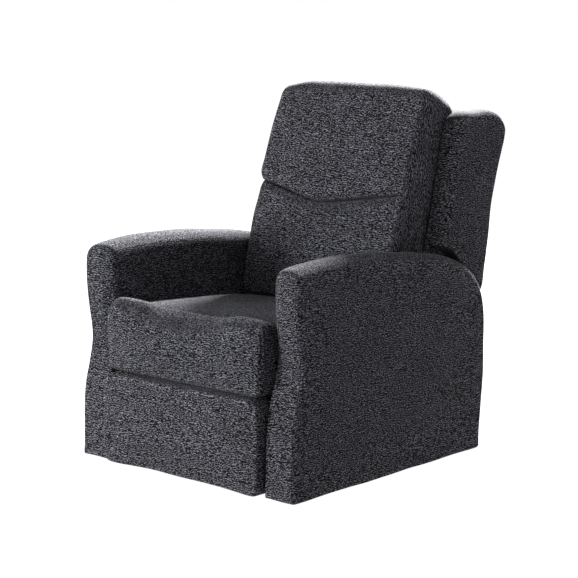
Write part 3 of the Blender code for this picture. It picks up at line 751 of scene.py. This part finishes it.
def arm_rims(outline):
    """Rounding of the arm's inner and outer edges: full over the top, crisp at the foot."""
    z = outline[:, 1]
    inner = np.where(z < 0.02, 0.003, 0.008)
    outer = np.where(z < 0.02, 0.003, 0.010)
    return closed_smooth(inner, 10), closed_smooth(outer, 10)


def arm(side, suffix):
    upper = spaced(spline(ARM_PROFILE, closed=False), 200, closed=False)
    foot = np.linspace(upper[-1], upper[0], 52)[1:-1]
    outline = np.vstack([upper, foot])
    low, high = ARM_LOW.x + 0.0004, ARM_HIGH.x + 0.0005
    obj = pad("arm_pad" + suffix, outline, low, high, arm_rims(outline), (-0.06, 0.31), stations=12,
              face_rings=20, crown=(0.0, 0.003))
    move_points(obj, arm_arch)
    subdivided(obj)
    rumpled(obj, 0.11, 0.0022, 1.0 + side, lambda co: smoothstep(0.302, 0.33, co[:, 0]))
    seam = arm_seam(obj, suffix)
    if side < 0:
        cut_pocket(obj)
        mirror_x(obj)
        mirror_x(seam)
    cloth_attributes(obj)
    finished(seam, THREAD, "base", "upholstery")
    return finished(obj, ARM_CLOTH, "base", "upholstery", "arm_cover" + suffix, fill=0.9)


def mirror_x(obj):
    obj.data.transform(Matrix.Diagonal((-1, 1, 1, 1)))
    obj.data.flip_normals()
    obj.data.update()


# ---------------------------------------------------------------- wings and outside back


def wing(side, suffix):
    outline = spaced(spline(WING_PROFILE), 190)
    z = outline[:, 1]
    rim = closed_smooth(0.007 + 0.004 * smoothstep(0.90, 0.97, z), 4)
    obj = pad("wing_pad" + suffix, outline, WING_LOW.x + 0.0003, WING_HIGH.x, (rim, rim), (0.365, 0.72),
              stations=8, face_rings=14, crown=(0.0, 0.003))
    move_points(obj, wing_roll)
    subdivided(obj)
    rumpled(obj, 0.10, 0.0018, 5.0 + side, lambda co: smoothstep(0.284, 0.31, co[:, 0]))
    if side < 0:
        mirror_x(obj)
    cloth_attributes(obj)
    return finished(obj, WING_CLOTH, "back", "upholstery", "wing" + suffix, fill=0.9)


# The front edge of the wing, as (height, y)
WING_FRONT = [(0.590, 0.214), (0.645, 0.222), (0.770, 0.252), (0.915, 0.285), (0.949, 0.297)]


def wing_roll(co, normal):
    """Rounds the wing's outer edge at its front and over its top."""
    line = np.array(WING_FRONT)
    behind = co[:, 1] - np.interp(co[:, 2], line[:, 0], line[:, 1])
    away = WING_HIGH.x + 0.001 - co[:, 0]
    co[:, 1] += fallen(away, 0.040, 0.034) * np.clip(1 - behind / 0.085, 0, 1)
    below = 0.970 - co[:, 2]
    co[:, 2] -= fallen(away, 0.034, 0.020) * np.clip(1 - below / 0.060, 0, 1)
    return co


def post_cover(side, suffix):
    """Cloth over the back's post, between the cushion and the wing, down inside the arm."""
    outline = np.array([(0.166, 0.425), (0.176, 0.470), (0.208, 0.570), (0.222, 0.625), (0.262, 0.640),
                        (0.330, 0.630), (0.400, 0.610), (0.424, 0.575), (0.416, 0.520), (0.404, 0.460),
                        (0.385, 0.425), (0.300, 0.415), (0.200, 0.412)])
    obj = pad("post_cover" + suffix, spaced(spline(outline), 110), 0.2822, 0.2945, (0.0018, 0.0018),
              (0.24, 0.53), stations=2, face_rings=6)
    if side < 0:
        mirror_x(obj)
    cloth_attributes(obj)
    return finished(obj, WING_CLOTH, "back", "upholstery", fill=0.9)


# The back's outside from its hem up and over its top, as (y, z)
OUTSIDE_LINE = [
    (0.36, 0.2), (0.378, 0.28), (0.395, 0.365), (0.411, 0.446), (0.425, 0.53), (0.436, 0.606),
    (0.448, 0.693), (0.47, 0.779), (0.493, 0.851), (0.506, 0.9), (0.504, 0.938), (0.486, 0.958),
    (0.46, 0.962), (0.425, 0.96), (0.394, 0.9575), (0.37, 0.956), (0.351, 0.955),
]


def outside_back():
    outer = spaced(spline(OUTSIDE_LINE, closed=False), 90, closed=False)
    step = np.gradient(outer, axis=0)
    normal = np.stack([step[:, 1], -step[:, 0]], axis=1)
    normal /= np.linalg.norm(normal, axis=1, keepdims=True)
    inner = outer - normal * 0.011
    ring = np.vstack([outer, inner[::-1]])
    stations = np.linspace(-SHELL_HIGH.x + 0.0005, SHELL_HIGH.x - 0.0005, 48)
    rings = [np.column_stack([np.full(len(ring), x), ring]) for x in stations]
    obj = mesh_object("outside_back_panel", rings)

    def change(co, normal):
        middle = 1 - (co[:, 0] / SHELL_HIGH.x) ** 2
        out = smoothstep(0.22, 0.42, co[:, 2]) * (1 - smoothstep(0.86, 0.95, co[:, 2]))
        seam = bump(np.abs(co[:, 0]), 0.236, 0.0035) * 0.0022 * (1 - smoothstep(0.93, 0.95, co[:, 2]))
        hem = bump(co[:, 2], 0.226, 0.003) * 0.0015
        facing = np.clip(normal[:, 1], 0, 1)
        co[:, 1] += facing * (0.005 * middle * out - seam - hem)
        return co

    move_points(obj, change)
    subdivided(obj)
    rumpled(obj, 0.13, 0.0018, 9.0)
    cloth_attributes(obj)
    return finished(obj, WING_CLOTH, "back", "upholstery", "outside_back", fill=0.9)


# ---------------------------------------------------------------- back cushion


def tuck_height(x):
    line = np.array(TUCK_LINE)
    return np.interp(x, line[:, 0], line[:, 1])


def back_density(y, z):
    front = 1 - smoothstep(0.0, 0.06, y - (0.02 + 0.30 * (z - 0.42)) - 0.08)
    return 1 + 3.0 * float(bump(z, 0.728, 0.045)) * float(front)


def back_cushion():
    outline = spaced(spline(BACK_PROFILE), 230, density=back_density)
    rim = closed_smooth(np.where(outline[:, 1] < 0.47, 0.020, 0.027), 8)
    obj = pad("back_cushion", outline, -BACK_HALF, BACK_HALF, (rim, rim), (0.205, 0.73), stations=52,
              face_rings=10, crown=(0.002, 0.003))
    subdivided(obj)
    inflated(obj, back_held)
    move_points(obj, back_shape)
    rumpled(obj, 0.12, 0.0022, 3.0)
    # The tuck's seam is a dark cord 4.4 mm thick laid in the fold. It is partly the seam and partly painted
    # shade standing for the depth of the fold.
    xs = np.linspace(-0.262, 0.246, 120)
    path = [(x, 0.02, tuck_height(x) - 0.004) for x in xs]
    seam = tube("tuck_seam_and_fold_shade", valley_line(obj, path, Vector((0, 1, 0)), -0.0002), 0.0022)
    finished(seam, THREAD, "back", "upholstery")
    cloth_attributes(obj)
    return finished(obj, BACK_CLOTH, "back", "upholstery", "lumbar_cushion", "head_pillow", fill=0.85)


def valley_line(obj, path, direction, sink):
    """The path cast along direction onto obj's surface, and smoothed."""
    placed = []
    for p in path:
        hit, place, normal, _ = obj.ray_cast(Vector(p), direction)
        placed.append(np.array(place + direction * sink) if hit else np.asarray(p))
    line = np.array(placed)
    for _ in range(2):
        line[1:-1] = (line[:-2] + 2 * line[1:-1] + line[2:]) / 4
    return line


def back_held(co):
    """Where the back cushion's cloth is sewn or rests on the frame."""
    x, y, z = co[:, 0], co[:, 1], co[:, 2]
    rear = np.array([(0.42, 0.150), (0.59, 0.215), (0.77, 0.275), (0.91, 0.325), (1.0, 0.340)])
    behind = smoothstep(-0.020, 0.0, y - np.interp(z, rear[:, 0], rear[:, 1]))
    tuck = bump(z - tuck_height(x), 0.0, 0.010) * (1 - smoothstep(0.24, 0.27, x))
    corner = 0.7 * smoothstep(BACK_HALF - 0.030, BACK_HALF - 0.012, np.abs(x))
    foot = 1 - smoothstep(0.425, 0.445, z)
    top = 0.9 * smoothstep(0.975, 1.010, z)
    return np.maximum.reduce([behind, tuck, corner, foot, top])


def back_shape(co, normal):
    """Crown of the cushion, the tuck seam across its front and the pinch at its left end."""
    x, y, z = co[:, 0].copy(), co[:, 1].copy(), co[:, 2].copy()
    seam = tuck_height(x)
    above = z - seam
    ends = 1 - smoothstep(0.235, 0.262, x)
    front = np.clip(-normal[:, 1], 0, 1)
    up = np.clip(normal[:, 2], 0, 1)
    middle = np.clip(1 - (x / BACK_HALF) ** 2, 0, 1)
    crown = 0.008 * middle * (bump(z, 0.60, 0.13) + bump(z, 0.86, 0.11))
    fold = 0.019 * bump(above, -0.001, 0.0050) + 0.010 * bump(above, -0.004, 0.020)
    roll = 0.006 * bump(above, 0.030, 0.024) - 0.003 * bump(above, -0.050, 0.030)
    co[:, 1] += front * (ends * (fold - roll) - crown)
    co[:, 2] -= 0.0050 * bump(above, 0.006, 0.010) * ends * front
    flat_top = np.clip(1 - (x / BACK_HALF) ** 4, 0, 1)
    co[:, 2] += up * flat_top * (0.004 + 0.022 * smoothstep(0.23, 0.31, y)) * smoothstep(0.95, 1.0, z)
    shoulder = smoothstep(0.16, 0.275, -x) * smoothstep(0.90, 1.02, z)
    co[:, 2] -= 0.012 * shoulder
    left = smoothstep(0.20, 0.27, -x)
    pinch = left * bump(above, -0.002, 0.014) * (1 - smoothstep(0.20, 0.30, y))
    co[:, 0] += 0.007 * pinch
    dimple = bump(x, 0.262, 0.012) * bump(above, 0.0, 0.010) * front
    co[:, 1] += 0.005 * dimple
    return co


# ---------------------------------------------------------------- seat


def seat_cushion():
    outline = spaced(spline(SEAT_PROFILE), 200)
    y, z = outline[:, 0], outline[:, 1]
    right = 0.012 + 0.022 * smoothstep(-0.40, -0.47, y)
    left = 0.012 + 0.014 * smoothstep(-0.40, -0.47, y)
    under = (y > -0.45) & (z < 0.37)
    rims = [closed_smooth(np.where(under, 0.004, r), 6) for r in (right, left)]
    obj = pad("seat_pad", outline, -SEAT_HALF - 0.002, SEAT_HALF + 0.002, rims, (-0.465, 0.398),
              stations=44, face_rings=9)
    subdivided(obj)
    inflated(obj, seat_held)
    move_points(obj, seat_shape)
    rumpled(obj, 0.12, 0.0030, 7.0, lambda co: smoothstep(0.37, 0.40, co[:, 2]))
    corners = split_corners(obj)
    cloth_attributes(obj)
    finished(obj, SEAT_CLOTH, "seat", "upholstery", "seat_cushion", "seat_border", fill=0.8)
    for corner in corners:
        move_points(corner, corner_shape)
        cloth_attributes(corner)
        finished(corner, SEAT_CLOTH, "seat", "upholstery", fill=0.4)
        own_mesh(corner)
    for side, suffix in SIDES:
        seat_piping(obj, side, suffix)
    return obj


def seat_piping(obj, side, suffix):
    """The piped seam down each end of the seat's front roll, on obj, with its two lines of stitches."""
    for part, shift, radius, cloth in (
        ("middle", 0.0, PIPING_RADIUS, SEAT_CLOTH),
        ("front", -STITCH_OFFSET, STITCH_RADIUS, THREAD),
        ("rear", STITCH_OFFSET, STITCH_RADIUS, THREAD),
    ):
        path = [(side * SEAT_HALF, PIPING_Y + shift, z) for z in np.linspace(CORNER_TOP + 0.002, 0.436, 16)]
        piping = tube(f"seat_piping_{part}{suffix}", on_surface(obj, path, 0.0008), radius, 10)
        cloth_attributes(piping)
        finished(piping, cloth, "seat", "upholstery")


def seat_held(co):
    """Where the seat's cloth rests on the frame or is sewn down."""
    x, y, z = co[:, 0], co[:, 1], co[:, 2]
    under = smoothstep(-0.470, -0.445, y) * (1 - smoothstep(0.366, 0.380, z))
    foot = 1 - smoothstep(0.275, 0.290, z)
    rear = smoothstep(0.060, 0.085, y)
    crease = 0.8 * bump(y, -0.402, 0.012) * smoothstep(0.42, 0.43, z)
    side = 0.8 * smoothstep(SEAT_HALF - 0.010, SEAT_HALF - 0.002, np.abs(x))
    return np.maximum.reduce([under, foot, rear, crease, side])


def corner_shape(co, normal):
    """Carries the corner back beside the seat's front rail, whose end it hides."""
    co[:, 1] += 0.033 * smoothstep(-0.453, -0.443, co[:, 1]) * (1 - smoothstep(-0.42, -0.41, co[:, 1]))
    return co


def in_corner(point, side):
    return point.x * side > CORNER_INNER and point.z < CORNER_TOP and point.y < -0.40


def sliced(mesh, side):
    """The mesh's own copy with edges added along the corner's two planes."""
    work = bmesh.new()
    work.from_mesh(mesh)
    for co, no in (((side * CORNER_INNER, 0, 0), (1, 0, 0)), ((0, 0, CORNER_TOP), (0, 0, 1))):
        near = [f for f in work.faces if f.calc_center_median().y < -0.30]
        parts = near + list({e for f in near for e in f.edges}) + list({v for f in near for v in f.verts})
        bmesh.ops.bisect_plane(work, geom=parts, plane_co=co, plane_no=no, dist=1e-6)
    return work


def cap_plane(work, axis, value):
    """Closes the open edge chain that lies in one plane with a flat face."""
    links = {}
    for edge in work.edges:
        if edge.is_boundary and all(abs(v.co[axis] - value) < 2e-5 for v in edge.verts):
            a, b = edge.verts
            links.setdefault(a, []).append(b)
            links.setdefault(b, []).append(a)
    starts = [v for v, near in links.items() if len(near) == 1]
    if not starts:
        return
    chain = [min(starts, key=lambda v: v.co.y)]
    while True:
        ahead = [v for v in links[chain[-1]] if v not in chain[-2:]]
        if not ahead:
            break
        chain.append(ahead[0])
    work.faces.new(chain)


def split_off(obj, side, inside, name=None):
    """Keeps only the corner, or all but the corner, and closes the two cut planes."""
    work = sliced(obj.data, side)
    unwanted = [f for f in work.faces if in_corner(f.calc_center_median(), side) != inside]
    bmesh.ops.delete(work, geom=unwanted, context="FACES")
    cap_plane(work, 0, side * CORNER_INNER)
    cap_plane(work, 2, CORNER_TOP)
    bmesh.ops.recalc_face_normals(work, faces=work.faces)
    target = obj
    if name:
        target = linked(name, bpy.data.meshes.new(name))
    work.to_mesh(target.data)
    work.free()
    target.data.shade_smooth()
    target.data.set_sharp_from_angle(angle=math.radians(50))
    return target


def split_corners(obj):
    """Parts the soft lower corners of the front roll from the seat, which the footrest's links push up."""
    corners = []
    for side, suffix in SIDES:
        corners.append(split_off(obj, side, True, "seat_corner" + suffix))
        split_off(obj, side, False)
    return corners


def seat_shape(co, normal):
    """Higher ends of the front roll, a dished top and the crease behind the roll."""
    x, y, z = co[:, 0].copy(), co[:, 1].copy(), co[:, 2].copy()
    up = np.clip(normal[:, 2], 0, 1)
    roll = bump(y, -0.462, 0.040)
    ends = smoothstep(0.09, 0.20, np.abs(x))
    co[:, 2] += 0.017 * ends * roll * smoothstep(0.40, 0.44, z)
    dish = (1 - (x / SEAT_HALF) ** 2) * smoothstep(-0.42, -0.30, y) * (1 - smoothstep(0.02, 0.10, y))
    co[:, 2] += 0.005 * dish * up
    co[:, 2] -= 0.010 * up * bump(y, -0.402, 0.016)
    return co


# ---------------------------------------------------------------- footrest


# The footrest panel's outline, as (x, z)
FOOT_OUTLINE = [
    (-0.262, 0.2615), (-0.279, 0.2575), (-0.288, 0.246), (-0.292, 0.22), (-0.2945, 0.17),
    (-0.296, 0.1), (-0.295, 0.056), (-0.292, 0.02), (-0.283, 0.006), (-0.26, 0.003),
    (-0.2, 0.0045), (-0.1, 0.007), (0.0, 0.0075), (0.1, 0.006), (0.2, 0.0035),
    (0.256, 0.002), (0.278, 0.004), (0.29, 0.018), (0.294, 0.06), (0.2955, 0.1),
    (0.2955, 0.17), (0.2945, 0.22), (0.292, 0.244), (0.282, 0.2575), (0.265, 0.2618),
    (0.15, 0.2622), (0.0, 0.2622), (-0.15, 0.2622), (-0.23, 0.2622),
]


def foot_held(co):
    """The footrest's cloth is stapled behind its board, and pulled over the board's edges."""
    x, y, z = np.abs(co[:, 0]), co[:, 1], co[:, 2]
    behind = smoothstep(-0.470, -0.458, y)
    rim = np.maximum.reduce([
        smoothstep(0.278, 0.290, x), 1 - smoothstep(0.014, 0.028, z), smoothstep(0.246, 0.258, z),
    ])
    return np.maximum(behind, 0.8 * rim)


def board_wrap(co, normal):
    """Draws the cloth back over the edges of the footrest's board."""
    outside = np.maximum.reduce([
        smoothstep(0.2835, 0.2868, np.abs(co[:, 0])), smoothstep(0.2515, 0.2550, co[:, 2]),
        1 - smoothstep(0.0240, 0.0290, co[:, 2]),
    ])
    co[:, 1] += 0.0138 * outside * smoothstep(-0.466, -0.453, co[:, 1])
    return co


def footrest_pad():
    line = np.array(FOOT_OUTLINE)[::-1]
    outline = spaced(spline(line), 220)
    front, rear = FOOT_LOW.y + 0.003, FOOT_HIGH.y - 0.001
    obj = pad("footrest_panel", outline, front, rear, (0.015, 0.006), (0.0, 0.14), stations=3, face_rings=16,
              crown=(0.006, 0.0), order="yxz")
    subdivided(obj)
    inflated(obj, foot_held, inset=0.004)
    move_points(obj, board_wrap)
    rumpled(obj, 0.12, 0.0022, 11.0)
    cloth_attributes(obj)
    return finished(obj, SEAT_CLOTH, "footrest", "upholstery", "footrest_pad", fill=0.85)


# ---------------------------------------------------------------- dust cover


def dust_cover():
    across, along = 40, 34
    points, faces = [], []
    low, high = COVER_LOW, COVER_HIGH
    for j in range(along + 1):
        for i in range(across + 1):
            u, v = i / across, j / along
            sag = 16 * u * (1 - u) * v * (1 - v)
            z = (low.z + high.z) / 2 - 0.0040 * sag + 0.0006 * noise.noise(Vector((u * 9, v * 9, 2.0)))
            points.append((low.x + (high.x - low.x) * u, low.y + (high.y - low.y) * v, z))
    for j in range(along):
        for i in range(across):
            a = j * (across + 1) + i
            faces.append((a, a + 1, a + across + 2, a + across + 1))
    mesh = bpy.data.meshes.new("dust_sheet")
    mesh.from_pydata(points, [], faces)
    mesh.shade_smooth()
    obj = linked("dust_sheet", mesh)
    skin = obj.modifiers.new("Cloth", "SOLIDIFY")
    skin.thickness = 0.0008
    skin.offset = 0.0
    apply_modifiers(obj)
    finished(obj, cambric_material(), "base", "cambric", "dust_cover")
    return obj


# ---------------------------------------------------------------- finishes of the carried-over nodes


def finish_nodes():
    finishes = {
        "frame_wood": wood_material(),
        "mechanism_steel": metal_material(
            "mechanism_coat", (0.020, 0.020, 0.022), (0.055, 0.055, 0.058), 0.55, 0.44, (160, 160, 160)),
        "spring_steel": metal_material(
            "spring_wire", (0.22, 0.21, 0.20), (0.46, 0.45, 0.43), 0.95, 0.34, (500, 40, 500)),
        "glide_metal": metal_material(
            "glide_plate", (0.34, 0.33, 0.31), (0.62, 0.61, 0.58), 0.95, 0.28, (300, 300, 40)),
        "webbing": webbing_material(),
        "cambric": bpy.data.materials["dust_cambric"],
        "release_plastic": plastic_material(),
        "upholstery": SEAT_CLOTH,
    }
    for subpart in frame["record"]["subparts"]:
        node = frame["nodes"][subpart["node"]]
        node.data.materials.clear()
        node.data.materials.append(finishes[subpart["material_slot"]])


# ---------------------------------------------------------------- studio


def studio():
    scene = bpy.context.scene
    camera_data = bpy.data.cameras.new("camera")
    camera_data.lens = 118.3
    camera_data.sensor_width = 36.0
    camera_data.clip_end = 100.0
    camera = linked("camera", camera_data)
    camera.location = (3.5529, -4.0486, 1.3821)
    camera.rotation_euler = (math.radians(80.3235), 0.0, math.radians(41.6258))
    scene.camera = camera

    world = bpy.data.worlds.new("studio_air")
    world.use_nodes = True
    world.node_tree.nodes["Background"].inputs["Color"].default_value = (1.0, 1.0, 1.0, 1.0)
    world.node_tree.nodes["Background"].inputs["Strength"].default_value = 1.0
    scene.world = world

    floor_mesh = bpy.data.meshes.new("studio_floor")
    floor_mesh.from_pydata([(-40, -40, 0), (40, -40, 0), (40, 40, 0), (-40, 40, 0)], [], [(0, 1, 2, 3)])
    floor = linked("studio_floor", floor_mesh)
    n = Nodes("floor_paint")
    cloud = n.noise(n.scaled(n.place(), (0.8, 0.8, 0.8)), 1.0, 2.0)
    tone = n.ramp(cloud, [(0.3, 0.035), (0.7, 0.045)])
    n.finish(Base_Color=tone, Roughness=0.9, Specular_IOR_Level=0.0, Emission_Color=(1.0, 1.0, 1.0, 1.0),
             Emission_Strength=1.0)
    floor_mesh.materials.append(n.material)

    lamp("key", (-2.2, -3.4, 0.8), (-0.1, -0.2, 0.42), 1.7, 375.0)
    lamp("crown", (-1.05, 3.68, 3.35), (0.0, 0.1, 0.6), 1.2, 3600.0)
    scene.view_settings.view_transform = "Standard"


def lamp(name, place, target, size, power):
    data = bpy.data.lights.new(name, "AREA")
    data.shape = "SQUARE"
    data.size = size
    data.energy = power
    obj = linked(name, data)
    obj.location = place
    aim = Vector(target) - Vector(place)
    obj.rotation_euler = aim.to_track_quat("-Z", "Y").to_euler()


# ---------------------------------------------------------------- the chair


studio()
ARM_CLOTH = melange("cloth_arm", walls=(1, 1, 0), tops=(0, 1, 0))
SEAT_CLOTH = melange("cloth_seat", walls=(1, 1, 0), tops=(1, 0, 0))
THREAD = thread_material()
BACK_CLOTH = melange("cloth_back", walls=(1, 1, 0), tops=(1, 0, 0), sides=(0, 0, 1))
# The wing cloth's upward faces keep 0.22 of their colour: painted shade.
WING_CLOTH = melange("cloth_wing", walls=(1, 1, 0), tops=(0, 1, 0), painted_top_shade=0.22)
for side, suffix in SIDES:
    arm(side, suffix)
    wing(side, suffix)
    post_cover(side, suffix)
outside_back()
back_cushion()
seat_cushion()
footrest_pad()
dust_cover()
finish_nodes()
